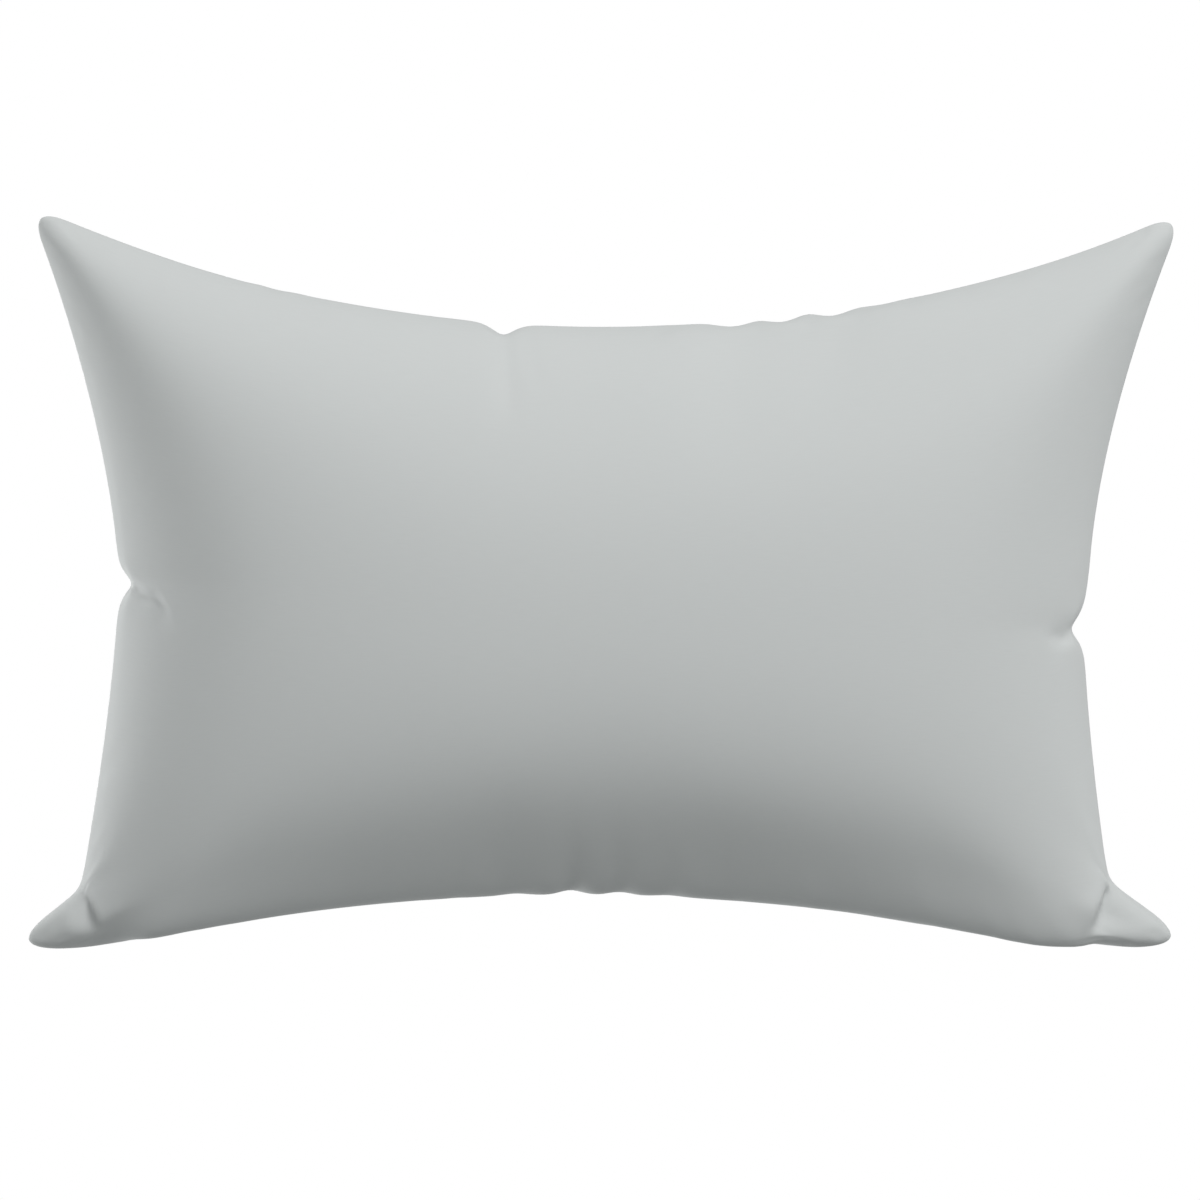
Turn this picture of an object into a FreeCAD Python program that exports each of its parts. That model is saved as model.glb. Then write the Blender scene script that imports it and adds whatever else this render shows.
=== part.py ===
"""Bed pillow: a zipped woven cover over a stuffed insert, lying flat on its back face.

Millimetres. +X runs along the pillow's length, +Y towards its top edge and +Z up through its loft.
The origin is the centre of the underside. Both covers meet in one level seam, SEAM_HEIGHT up, whose
four sides bow in between the corners. The zip sits in the bottom seam, which is a circular arc, so
everything on the zip is turned about that arc's centre.
"""
import FreeCAD
import Part

import math
import os

# ---- driving dimensions -------------------------------------------------------------------------
TIP_X = 368.0             # corner tips, from the middle
TIP_Y = 236.0
SIDE_WAIST_X = 311.0      # middle of each short side
TOP_WAIST_Y = 164.5       # middle of the top seam
BOTTOM_WAIST_Y = 192.6    # middle of the bottom seam, below the origin
SEAM_HEIGHT = 104.0
LOFT = 118.0              # crown of each face from the seam; the floor flattens what hangs below it
LONG_SQUARENESS = 2.6     # 2 is an ellipse, more is flatter in the middle
SHORT_SQUARENESS = 2.2

COVER_CLOTH = 1.6
COVER_ALLOWANCE = 10.0    # width of the turned-in seam allowance
COVER_FOLD = 1.0          # thickness of one turned-in edge
TICKING = 1.2
TICKING_ALLOWANCE = 6.0
TICKING_FOLD = 0.8
INSERT_INSET = 14.0       # insert's outline inside the cover's
LAYER_GAP = 0.4
FILL_GAP = 0.3
THREAD = 0.5

ZIP_HALF = 220.0          # half length of the chain's zone, along the arc
SLOT_HALF = 226.0
SLOT_GAP = 1.0            # half the gap between the two cloth lips
LIP_DEPTH = 4.0
TAPE_THICK = 0.6
TAPE_FROM = 1.4
TAPE_TO = 14.0
COIL_THICK = 2.0
COIL_FROM = 0.95
COIL_TO = 3.4
STOP_LENGTH = 2.5
SLIDER_LENGTH = 9.0
SLIDER_PARK = 212.0       # where the closed slider waits, along the arc
NECK_HALF = 0.6
PIN_RADIUS = 0.6
PIN_STANDOFF = 2.2        # pin's axis outside the seam
PIN_CLEARANCE = 0.06
PULL_LENGTH = 24.0

# ---- worked out ---------------------------------------------------------------------------------
BOTTOM_BOW = TIP_Y - BOTTOM_WAIST_Y
ARC_RADIUS = (TIP_X**2 + BOTTOM_BOW**2) / (2 * BOTTOM_BOW)
ARC_CENTRE_Y = -BOTTOM_WAIST_Y - ARC_RADIUS
INSERT_THIN = COVER_CLOTH + LAYER_GAP
FILL_INSET = INSERT_INSET + TICKING_ALLOWANCE + 1.5
FILL_THIN = INSERT_THIN + TICKING + FILL_GAP
TAPE_BACK = LIP_DEPTH + TAPE_THICK
CHAIN_BACK = TAPE_BACK + COIL_THICK
FRONT, BACK = 1, -1
UP = FreeCAD.Vector(0, 0, 1)


# ---- the pillow's shape -------------------------------------------------------------------------
def skin_point(u, v, inset, thin, rise):
    """A point of the front's skin: u and v run from -1 to 1 across the plan.

    The plan's sides bow in as squares of u and v, the bottom one as the zip's arc. The height is the
    product of two rounded profiles, so it falls steeply to nothing at the seam.
    """
    half_x = SIDE_WAIST_X + (TIP_X - SIDE_WAIST_X) * v * v - inset
    top = TOP_WAIST_Y + (TIP_Y - TOP_WAIST_Y) * u * u - inset
    bottom = ARC_CENTRE_Y + math.sqrt(ARC_RADIUS**2 - (u * TIP_X) ** 2) + inset
    crown = max(0.0, 1 - abs(u) ** LONG_SQUARENESS) * max(0.0, 1 - abs(v) ** SHORT_SQUARENESS)
    return FreeCAD.Vector(
        u * half_x,
        (top + bottom) / 2 + v * (top - bottom) / 2,
        SEAM_HEIGHT + rise + (LOFT - thin - rise) * math.sqrt(crown),
    )


def skin(inset, thin, rise, across=17, along=13):
    """The front's skin as one spline face whose flat rim is that far above the seam's plane. Its samples
    crowd towards the seam, where it is steepest."""
    us = [math.sin(math.pi * (i / (across - 1) - 0.5)) for i in range(across)]
    vs = [math.sin(math.pi * (j / (along - 1) - 0.5)) for j in range(along)]
    surface = Part.BSplineSurface()
    surface.interpolate([[skin_point(u, v, inset, thin, rise) for v in vs] for u in us])
    return surface.toShape()


def rim_face(face):
    """The flat face that a skin's four edges enclose."""
    return Part.Face(Part.Wire(Part.__sortEdges__(face.Edges)))


def outline_slab(inset, z_from, z_to):
    """The block inside the seam's outline, inset by that much, between two heights."""
    face = rim_face(skin(inset, 0, 0))
    return face.translated(UP * (z_from - SEAM_HEIGHT)).extrude(UP * (z_to - z_from))


def slab(z_from, z_to):
    """A block wider than the pillow between two heights."""
    wide = 4 * TIP_X
    corner = FreeCAD.Vector(-wide / 2, -wide / 2, z_from)
    return Part.makeBox(wide, wide, z_to - z_from, corner)


def to_back(shape):
    """A shape turned over to the other side of the seam's plane."""
    return shape.mirror(FreeCAD.Vector(0, 0, SEAM_HEIGHT), UP)


def solid_of(faces):
    """One closed solid from faces that meet edge to edge, turned the right way out."""
    shell = Part.makeShell(faces)
    shell.sewShape()
    if Part.Solid(shell).Volume < 0:
        shell.reverse()
    return Part.Solid(shell)


def dome(inset, thin, rise):
    """The solid between a skin and the flat face across its rim."""
    front = skin(inset, thin, rise)
    return solid_of([front, rim_face(front)])


def ring(outer, inner, z_from, z_to):
    """A flat band that follows the seam between two insets."""
    return outline_slab(outer, z_from, z_to).cut(outline_slab(inner, z_from, z_to))


def cloth_panel(inset, thin, cloth, allowance, fold, side):
    """One cloth panel: a dome less the hollow above its seam allowance and less the mouth between the
    allowance's inner edges. The back panel is flat where it lies on the floor."""
    outside = dome(inset, thin, 0)
    mouth = outline_slab(inset + allowance, SEAM_HEIGHT, SEAM_HEIGHT + fold)
    hollow = dome(inset + cloth, thin + cloth, fold).fuse(mouth)
    if side == BACK:
        outside = to_back(outside).common(slab(thin, 2 * SEAM_HEIGHT))
        hollow = to_back(hollow).common(slab(thin + cloth, 2 * SEAM_HEIGHT))
    return outside.cut(hollow)


# ---- the zip's arc ------------------------------------------------------------------------------
def on_arc(shape, along):
    """A shape made at the middle of the bottom seam, carried that far along the arc towards +X."""
    moved = shape.copy()
    moved.rotate(FreeCAD.Vector(0, ARC_CENTRE_Y, 0), UP, -math.degrees(along / ARC_RADIUS))
    return moved


def arc_bar(depth_from, depth_to, rise_from, rise_to, along_from, along_to):
    """A bar of rectangular section turned about the arc's centre. Depth is measured into the pillow from the
    seam, rise from the seam's plane, and along from the middle of the seam."""
    y = -BOTTOM_WAIST_Y
    z = SEAM_HEIGHT
    corners = [
        FreeCAD.Vector(0, y + depth_from, z + rise_from),
        FreeCAD.Vector(0, y + depth_to, z + rise_from),
        FreeCAD.Vector(0, y + depth_to, z + rise_to),
        FreeCAD.Vector(0, y + depth_from, z + rise_to),
    ]
    face = Part.Face(Part.makePolygon(corners + corners[:1]))
    sweep = math.degrees((along_to - along_from) / ARC_RADIUS)
    bar = face.revolve(FreeCAD.Vector(0, ARC_CENTRE_Y, 0), UP, sweep)
    return on_arc(bar, along_to)


def mirrored(low, high, side):
    """A range of rise on the front or the back side of the seam's plane."""
    return sorted((side * low, side * high))


# ---- the cover ----------------------------------------------------------------------------------
def cover_panel(side):
    """Front or back cover, with the slot for the zip and its allowance cut away behind the zip."""
    panel = cloth_panel(0, 0, COVER_CLOTH, COVER_ALLOWANCE, COVER_FOLD, side)
    slot = arc_bar(-LIP_DEPTH, INSERT_INSET, -SLOT_GAP, SLOT_GAP, -SLOT_HALF, SLOT_HALF)
    behind = arc_bar(LIP_DEPTH, INSERT_INSET, -TAPE_TO - 2, TAPE_TO + 2, -SLOT_HALF, SLOT_HALF)
    return panel.cut(slot.fuse(behind))


def clear_of_zip(shape):
    """A seam's thread stops at each end of the zip."""
    return shape.cut(arc_bar(0, INSERT_INSET, -TAPE_TO, TAPE_TO, -SLOT_HALF, SLOT_HALF))


def cover_seam_thread():
    """The lockstitch that joins the covers: one line of thread on each side of the turned-in edges."""
    inset = 2.4
    lines = []
    for side in (FRONT, BACK):
        low, high = mirrored(COVER_FOLD, COVER_FOLD + THREAD, side)
        line = ring(inset, inset + 2 * THREAD, SEAM_HEIGHT + low, SEAM_HEIGHT + high)
        lines.append(clear_of_zip(line))
    return lines


def cover_overlock_thread():
    """The overlock that wraps the raw edge of both allowances."""
    bite = 3.0
    reach = COVER_FOLD + THREAD
    inner = COVER_ALLOWANCE + 0.8 * THREAD
    wrap = ring(COVER_ALLOWANCE - bite, inner, SEAM_HEIGHT - reach, SEAM_HEIGHT + reach)
    edges = ring(0, COVER_ALLOWANCE, SEAM_HEIGHT - COVER_FOLD, SEAM_HEIGHT + COVER_FOLD)
    return [clear_of_zip(wrap.cut(edges))]


def care_label():
    """A satin loop sewn to the overlocked edge, hanging between the cover and the insert."""
    top = -COVER_FOLD - THREAD
    drop = 19.0
    depth = COVER_ALLOWANCE - 0.1
    return [arc_bar(depth, depth + 0.4, top - drop, top, -285, -247)]


# ---- the zip ------------------------------------------------------------------------------------
def zip_tape(side):
    low, high = mirrored(TAPE_FROM, TAPE_TO, side)
    return [arc_bar(LIP_DEPTH, TAPE_BACK, low, high, -SLOT_HALF + 2, SLOT_HALF - 2)]


def zip_coil(side):
    """One half of the chain, between its stops."""
    low, high = mirrored(COIL_FROM, COIL_TO, side)
    end = ZIP_HALF - STOP_LENGTH
    return [arc_bar(TAPE_BACK, CHAIN_BACK, low, high, -end, end)]


def zip_stitching(side):
    """The line of stitches that holds a tape to its cover."""
    middle = 8.0
    low, high = mirrored(middle, middle + THREAD, side)
    return [arc_bar(TAPE_BACK, TAPE_BACK + THREAD, low, high, -SLOT_HALF + 3, SLOT_HALF - 3)]


def zip_top_stops():
    """A crimped stop at the closed end of each half of the chain."""
    stops = []
    for side in (FRONT, BACK):
        low, high = mirrored(0.2, COIL_TO, side)
        stops.append(arc_bar(TAPE_BACK, CHAIN_BACK + 0.6, low, high, ZIP_HALF - STOP_LENGTH, ZIP_HALF))
    return stops


def zip_bottom_stop():
    """One staple across both halves of the chain at the open end."""
    return [arc_bar(TAPE_BACK, CHAIN_BACK + 0.6, -COIL_TO, COIL_TO, -ZIP_HALF, STOP_LENGTH - ZIP_HALF)]


def zip_bar_tacks():
    """A dense bar of thread that closes the lips at each end of the zip."""
    length = 4.0
    ends = ((-SLOT_HALF, length - SLOT_HALF), (SLOT_HALF - length, SLOT_HALF))
    return [arc_bar(0.3, LIP_DEPTH, -SLOT_GAP, SLOT_GAP, start, stop) for start, stop in ends]


def local_box(x_from, x_to, depth_from, depth_to, rise_from, rise_to):
    """A block at the middle of the bottom seam, in the zip's own depth and rise."""
    corner = FreeCAD.Vector(x_from, depth_from - BOTTOM_WAIST_Y, SEAM_HEIGHT + rise_from)
    return Part.makeBox(x_to - x_from, depth_to - depth_from, rise_to - rise_from, corner)


def local_pin(radius, rise_from, rise_to):
    """A cylinder on the pull's pivot axis."""
    foot = FreeCAD.Vector(0, -PIN_STANDOFF - BOTTOM_WAIST_Y, SEAM_HEIGHT + rise_from)
    return Part.makeCylinder(radius, rise_to - rise_from, foot, UP)


def zip_slider_body():
    """A plate with two side walls behind the chain, and a neck that passes out between the lips to a lug."""
    half = SLIDER_LENGTH / 2
    wall_in, wall_out = COIL_TO + 0.4, COIL_TO + 1.2
    plate_from, plate_to = CHAIN_BACK + 0.4, CHAIN_BACK + 1.6
    body = local_box(-half, half, plate_from, plate_to, -wall_out, wall_out)
    upright = [e for e in body.Edges if abs(e.tangentAt(e.FirstParameter).y) > 0.9]
    body = body.makeFillet(1.4, upright)
    for side in (FRONT, BACK):
        low, high = mirrored(wall_in, wall_out, side)
        body = body.fuse(local_box(2 - half, half - 2, TAPE_BACK + 0.6, plate_from, low, high))
    neck = local_box(-1.5, 1.5, -PIN_STANDOFF, plate_from, -NECK_HALF, NECK_HALF)
    lug = local_pin(1.5, -NECK_HALF, NECK_HALF)
    body = body.fuse([neck, lug]).cut(local_pin(PIN_RADIUS, -NECK_HALF, NECK_HALF))
    return [on_arc(body.removeSplitter(), SLIDER_PARK)]


def zip_slider_pin():
    """A headed pin, fast in the lug, that the pull turns on."""
    shank = 2.0
    pin = local_pin(PIN_RADIUS, -shank, shank)
    for side in (FRONT, BACK):
        low, high = mirrored(shank, shank + 0.4, side)
        pin = pin.fuse(local_pin(1.5 * PIN_RADIUS, low, high))
    return [on_arc(pin.removeSplitter(), SLIDER_PARK)]


def zip_pull_tab():
    """A drop-shaped tab with two ears round the lug, lying along the seam towards -X at rest."""
    thick = 1.2
    ear_in, ear_out = NECK_HALF + 0.25, 1.85
    web = 2.1
    narrow, wide = 1.85, 3.0
    outer = -PIN_STANDOFF - thick / 2
    end = wide - PULL_LENGTH
    face_y = outer - BOTTOM_WAIST_Y
    shoulders = [
        FreeCAD.Vector(-web, face_y, SEAM_HEIGHT - narrow),
        FreeCAD.Vector(-web, face_y, SEAM_HEIGHT + narrow),
        FreeCAD.Vector(end, face_y, SEAM_HEIGHT + wide),
        FreeCAD.Vector(end, face_y, SEAM_HEIGHT - wide),
    ]
    sides = [
        Part.makeLine(shoulders[3], shoulders[0]),
        Part.makeLine(shoulders[0], shoulders[1]),
        Part.makeLine(shoulders[1], shoulders[2]),
        Part.Arc(shoulders[2], FreeCAD.Vector(-PULL_LENGTH, face_y, SEAM_HEIGHT), shoulders[3]).toShape(),
    ]
    tab = Part.Face(Part.Wire(sides)).extrude(FreeCAD.Vector(0, thick, 0))
    for side in (FRONT, BACK):
        low, high = mirrored(ear_in, ear_out, side)
        ear = local_box(-web - 0.5, 0, outer, outer + thick, low, high)
        tab = tab.fuse(ear).fuse(local_pin(1.2, low, high))
    grip_hole = Part.makeCylinder(
        1.1, thick, FreeCAD.Vector(end, face_y, SEAM_HEIGHT), FreeCAD.Vector(0, 1, 0)
    )
    tab = tab.cut(grip_hole).cut(local_pin(PIN_RADIUS + PIN_CLEARANCE, -wide, wide))
    return [on_arc(tab.removeSplitter(), SLIDER_PARK)]


# ---- the insert ---------------------------------------------------------------------------------
def insert_panel(side):
    """Front or back ticking of the stuffed insert."""
    return [cloth_panel(INSERT_INSET, INSERT_THIN, TICKING, TICKING_ALLOWANCE, TICKING_FOLD, side)]


def insert_seam_thread():
    """The lockstitch round the insert, on both sides of its allowance."""
    inset = INSERT_INSET + 2.5
    lines = []
    for side in (FRONT, BACK):
        low, high = mirrored(TICKING_FOLD, TICKING_FOLD + THREAD, side)
        lines.append(ring(inset, inset + 2 * THREAD, SEAM_HEIGHT + low, SEAM_HEIGHT + high))
    return lines


def insert_closing_stitches():
    """Whip stitches over the top seam where the insert was filled and closed by hand."""
    pitch, count, width, reach = 6.0, 25, 1.0, 2.5
    stitches = []
    for i in range(count):
        x = pitch * (i - (count - 1) / 2)
        edge = skin_point(x / (TIP_X - INSERT_INSET), 1, INSERT_INSET, 0, 0)
        corner = FreeCAD.Vector(x - width / 2, edge.y + 0.1, SEAM_HEIGHT - reach)
        stitches.append(Part.makeBox(width, THREAD, 2 * reach, corner))
    return stitches


def insert_label():
    """A folded tape in the middle of the insert's right side: a foot out of the seam, turned up beside it."""
    edge = SIDE_WAIST_X - INSERT_INSET
    half_width, tall, cloth = 18.0, 21.0, 0.4
    foot = Part.makeBox(1.5, 2 * half_width, cloth, FreeCAD.Vector(edge + 1, -half_width, SEAM_HEIGHT))
    flag = Part.makeBox(
        cloth, 2 * half_width, tall, FreeCAD.Vector(edge + 2.5 - cloth, -half_width, SEAM_HEIGHT)
    )
    return [foot.fuse(flag).removeSplitter()]


def fibre_fill():
    """The stuffing, as the space that it fills."""
    front = skin(FILL_INSET, FILL_THIN, 0)
    return [solid_of([front, to_back(front)]).common(slab(FILL_THIN, 2 * SEAM_HEIGHT + LOFT))]


NODES = {
    "cover_front_panel": lambda: [cover_panel(FRONT)],
    "cover_back_panel": lambda: [cover_panel(BACK)],
    "cover_seam_thread": cover_seam_thread,
    "cover_overlock_thread": cover_overlock_thread,
    "care_label": care_label,
    "zip_tape_front": lambda: zip_tape(FRONT),
    "zip_tape_back": lambda: zip_tape(BACK),
    "zip_coil_front": lambda: zip_coil(FRONT),
    "zip_coil_back": lambda: zip_coil(BACK),
    "zip_stitching_front": lambda: zip_stitching(FRONT),
    "zip_stitching_back": lambda: zip_stitching(BACK),
    "zip_top_stops": zip_top_stops,
    "zip_bottom_stop": zip_bottom_stop,
    "zip_bar_tacks": zip_bar_tacks,
    "zip_slider_body": zip_slider_body,
    "zip_slider_pin": zip_slider_pin,
    "zip_pull_tab": zip_pull_tab,
    "insert_front_panel": lambda: insert_panel(FRONT),
    "insert_back_panel": lambda: insert_panel(BACK),
    "insert_seam_thread": insert_seam_thread,
    "insert_closing_stitches": insert_closing_stitches,
    "insert_label": insert_label,
    "fibre_fill": fibre_fill,
}


def main():
    os.makedirs("parts", exist_ok=True)
    for name, make in NODES.items():
        solids = [solid for piece in make() for solid in piece.Solids]
        shape = solids[0] if len(solids) == 1 else Part.makeCompound(solids)
        shape.exportStep(f"parts/{name}.step")
        box = shape.BoundBox
        print(f"{name:24s} solids {len(solids):3d} valid {shape.isValid()} volume {shape.Volume:12.1f} mm3"
              f"  {box.XLength:.1f} x {box.YLength:.1f} x {box.ZLength:.1f}")
    park = SLIDER_PARK / ARC_RADIUS
    reach = ARC_RADIUS - PIN_STANDOFF
    pull_x, pull_y = reach * math.sin(park), ARC_CENTRE_Y + reach * math.cos(park)
    print(f"arc radius {ARC_RADIUS:.2f}, centre y {ARC_CENTRE_Y:.2f}, travel {2 * math.degrees(park):.3f} degrees")
    print(f"pull pivot {pull_x:.3f} {pull_y:.3f} {SEAM_HEIGHT:.1f}")


main()
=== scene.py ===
"""Bed pillow: a plain pale grey cover, zipped along its bottom seam, over a stuffed insert.

The cover is two plain-weave cotton cloths sewn face to face and turned, so the seam is a bare knife edge.
Inside it are a concealed coil zip, a downproof ticking insert and its polyester fibre.
"""

import math

import bpy
import numpy as np
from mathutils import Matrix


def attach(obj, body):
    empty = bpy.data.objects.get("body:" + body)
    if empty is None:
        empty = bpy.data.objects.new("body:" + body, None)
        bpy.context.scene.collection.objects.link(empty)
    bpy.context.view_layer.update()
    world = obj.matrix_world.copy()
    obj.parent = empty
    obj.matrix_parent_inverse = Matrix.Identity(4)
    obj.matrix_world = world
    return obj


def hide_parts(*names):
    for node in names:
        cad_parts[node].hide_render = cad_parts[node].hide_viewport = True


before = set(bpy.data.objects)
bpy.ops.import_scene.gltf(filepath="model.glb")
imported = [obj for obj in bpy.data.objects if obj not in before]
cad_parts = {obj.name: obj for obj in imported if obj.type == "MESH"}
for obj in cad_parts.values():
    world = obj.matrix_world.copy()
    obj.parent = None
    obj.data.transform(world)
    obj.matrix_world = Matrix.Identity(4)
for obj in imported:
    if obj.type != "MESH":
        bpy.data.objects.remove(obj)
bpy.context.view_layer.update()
scene = bpy.context.scene
SEAM = 104.0              # height of the seam's plane, millimetres


# ---- camera -------------------------------------------------------------------------------------
# A long lens straight above the middle of the front face.
FRAME_WIDTH = 0.7728      # width of the view at the seam's height, metres
CAMERA_ABOVE = 4.0        # metres above the seam's plane
CAMERA_AT = (-0.001, -0.0119)
camera_data = bpy.data.cameras.new("camera")
camera_data.sensor_width = 36
camera_data.lens = camera_data.sensor_width * CAMERA_ABOVE / FRAME_WIDTH
camera = bpy.data.objects.new("camera", camera_data)
camera.location = (*CAMERA_AT, SEAM / 1000 + CAMERA_ABOVE)
scene.collection.objects.link(camera)
scene.camera = camera
scene.view_settings.view_transform = "Standard"


# ---- light and backdrop -------------------------------------------------------------------------
# A broad lamp from the top right, an even sky, and three lamps low behind that catch the rims, the left one
# strongest. The white floor gives no light, so that the pillow's lower edge stays dark.
LAMPS_AWAY = 6.0          # metres from the pillow's middle


def area_lamp(name, towards, size, strength):
    """A square lamp that way from the pillow's middle. White cloth that faces it would read its strength."""
    lamp = bpy.data.lights.new(name, "AREA")
    lamp.size = size
    lamp.energy = strength * math.pi**2 * LAMPS_AWAY**2
    holder = bpy.data.objects.new(name, lamp)
    way = np.array(towards) / np.linalg.norm(towards)
    holder.location = way * LAMPS_AWAY + np.array((0, 0, SEAM / 1000))
    holder.rotation_euler = holder.location.to_track_quat("Z", "Y").to_euler()
    scene.collection.objects.link(holder)


area_lamp("key_lamp", (0.34, 0.61, 0.71), 3.0, 0.69)
area_lamp("left_rim_lamp", (-0.83, -0.25, -0.50), 2.4, 0.80)
area_lamp("right_rim_lamp", (0.83, -0.25, -0.50), 2.4, 0.20)
area_lamp("top_rim_lamp", (-0.43, 0.75, -0.50), 2.4, 0.20)

sky = bpy.data.worlds.new("sky")
scene.world = sky
sky.use_nodes = True
sky_nodes, sky_links = sky.node_tree.nodes, sky.node_tree.links
SKY_LIGHT = 0.325
even = sky_nodes["Background"]
even.inputs["Color"].default_value = (0.97, 1.0, 1.0, 1)
even.inputs["Strength"].default_value = SKY_LIGHT
plain = sky_nodes.new("ShaderNodeBackground")
plain.inputs["Color"].default_value = (1, 1, 1, 1)
plain.inputs["Strength"].default_value = 1.0
seen = sky_nodes.new("ShaderNodeLightPath")
choose = sky_nodes.new("ShaderNodeMixShader")
sky_links.new(seen.outputs["Is Camera Ray"], choose.inputs["Fac"])
sky_links.new(even.outputs["Background"], choose.inputs[1])
sky_links.new(plain.outputs["Background"], choose.inputs[2])
sky_links.new(choose.outputs["Shader"], sky_nodes["World Output"].inputs["Surface"])

FLOOR_HALF = 6.0
FLOOR_AT = -0.001
floor_mesh = bpy.data.meshes.new("floor")
floor_mesh.from_pydata(
    [(x * FLOOR_HALF, y * FLOOR_HALF, FLOOR_AT) for x, y in ((-1, -1), (1, -1), (1, 1), (-1, 1))],
    [], [(0, 1, 2, 3)],
)
floor = bpy.data.objects.new("floor", floor_mesh)
scene.collection.objects.link(floor)
floor_white = bpy.data.materials.new("floor_white")
floor_white.use_nodes = True
glow = floor_white.node_tree.nodes.new("ShaderNodeEmission")
glow.inputs["Color"].default_value = (1, 1, 1, 1)
floor_white.node_tree.links.new(
    glow.outputs["Emission"], floor_white.node_tree.nodes["Material Output"].inputs["Surface"]
)
floor_mesh.materials.append(floor_white)
for ray in ("diffuse", "glossy", "transmission", "shadow"):
    setattr(floor, "visible_" + ray, False)


# ---- cover: outline -----------------------------------------------------------------------------
# Two cloths of plain-weave cotton. Their four sides bow in between pointed corners with rounded tips.
CORNERS = {"bl": (-386.2, -237.2), "br": (386.0, -234.9), "tr": (376.7, 240.5), "tl": (-371.0, 244.0)}
TIP_CUTS = (38.0, 42.0, 30.0, 30.0)       # each corner is rounded from this far along its sides
ARC_RADIUS = 1581.88      # the zipped part of the bottom seam
ARC_CENTRE_Y = -1774.48
KINK_BLEND = 1.6          # how softly the sides turn out to the low corners
TIE_POWER = 20            # how soon a side leaves the corner it is tied to


def smooth(x, start, end):
    """0 before start and 1 after end, with t^2 (3 - 2 t) between."""
    t = np.clip((x - start) / (end - start), 0, 1)
    return t * t * (3 - 2 * t)


def bell(x, centre, width):
    """exp(-((x - centre) / width)^2)."""
    return np.exp(-(((x - centre) / width) ** 2))


def soft_least(a, b, blend):
    """The lesser of a and b, rounded where they cross: -w ln(exp(-a/w) + exp(-b/w))."""
    return -blend * np.logaddexp(-a / blend, -b / blend)


def top_edge(x):
    """A parabola, let down a little on the right."""
    let_down = 3.4 * smooth(x, 55, 85) + 3.8 * smooth(x, 130, 330) + 1.4 * bell(x, -245, 70)
    return 164.5 + 71.5 * (x / 351.6) ** 2 - let_down - 1.4 * bell(x, 152, 14)


def bottom_edge(x):
    """The zip's arc, running out level at both ends."""
    bow = x**2 / (2 * ARC_RADIUS) + 10.0 * smooth(np.abs(x), 246, 312)
    return -192.6 - soft_least(bow, 44.6, 2.0)


def side_edge(y, waist, rise, rise_power, fall, fall_power, kink, spread):
    """Half width at y: a power of y above and below the waist, then a straight run out to the low corner."""
    up, down = np.maximum(y, 0), np.maximum(-y, 0)
    run_out = spread * (KINK_BLEND * np.logaddexp(0, (down - kink) / KINK_BLEND))
    return waist + rise * (up / 237) ** rise_power + fall * (down / 195) ** fall_power + run_out


def left_edge(y):
    return -side_edge(y, 311.5, 55.9, 1.573, 24.0, 1.464, 197.5, 1.10)


def right_edge(y):
    return side_edge(y, 310.0 + 4.5 * smooth(y, -40, 15), 61.0, 1.6, 17.2, 1.7, 192.5, 1.24)


def length_along(line):
    """Distance along a line of points, from its start."""
    return np.concatenate([[0], np.cumsum(np.linalg.norm(np.diff(line, axis=0), axis=1))])


def resampled(line, distances):
    """Points of a line at those distances along it."""
    run = length_along(line)
    return np.stack([np.interp(distances, run, line[:, k]) for k in range(line.shape[1])], -1)


def tied(line, start, end):
    """The line with its ends moved to those corners, which fades within a tenth of its length."""
    t = np.linspace(0, 1, len(line))[:, None]
    to_start = (np.array(start) - line[0]) * (1 - t) ** TIE_POWER
    return line + to_start + (np.array(end) - line[-1]) * t**TIE_POWER


def cover_sides():
    """The four sides, bottom, right, top and left in turn, each tip rounded by a parabola that is tangent
    to both of its sides."""
    count = 900
    c = CORNERS
    x = np.linspace(c["bl"][0], c["br"][0], count)
    y = np.linspace(c["br"][1], c["tr"][1], count)
    bottom = tied(np.stack([x, bottom_edge(x)], -1), c["bl"], c["br"])
    right = tied(np.stack([right_edge(y), y], -1), c["br"], c["tr"])
    x = np.linspace(c["tr"][0], c["tl"][0], count)
    y = np.linspace(c["tl"][1], c["bl"][1], count)
    top = tied(np.stack([x, top_edge(x)], -1), c["tr"], c["tl"])
    left = tied(np.stack([left_edge(y), y], -1), c["tl"], c["bl"])
    sharp = [bottom, right, top, left]
    cut = []
    for k, side in enumerate(sharp):
        total = length_along(side)[-1]
        cut.append(resampled(side, np.linspace(TIP_CUTS[k], total - TIP_CUTS[(k + 1) % 4], count)))
    sides = []
    t = np.linspace(0, 0.5, 24)[:, None]
    for k, side in enumerate(cut):
        before, after = cut[k - 1], cut[(k + 1) % 4]
        start = ((0.5 - t) ** 2) * before[-1] + 2 * (0.5 + t) * (0.5 - t) * sharp[k][0]
        start = start + (0.5 + t) ** 2 * side[0]
        end = ((1 - t) ** 2) * side[-1] + 2 * t * (1 - t) * sharp[k][-1] + t**2 * after[0]
        sides.append(np.concatenate([start, side[1:-1], end]))
    return sides


def spread_out(count, gathers):
    """count fractions from 0 to 1, closer together at both ends and at each gather, which is (place, width,
    how much)."""
    t = np.linspace(0, 1, 4001)
    density = 1 + 2.0 * (np.exp(-t / 0.05) + np.exp(-(1 - t) / 0.05))
    for place, width, much in gathers:
        density = density + much * bell(t, place, width)
    run = np.concatenate([[0], np.cumsum((density[1:] + density[:-1]) / 2)])
    return np.interp(np.linspace(0, 1, count), run / run[-1], t)


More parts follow.
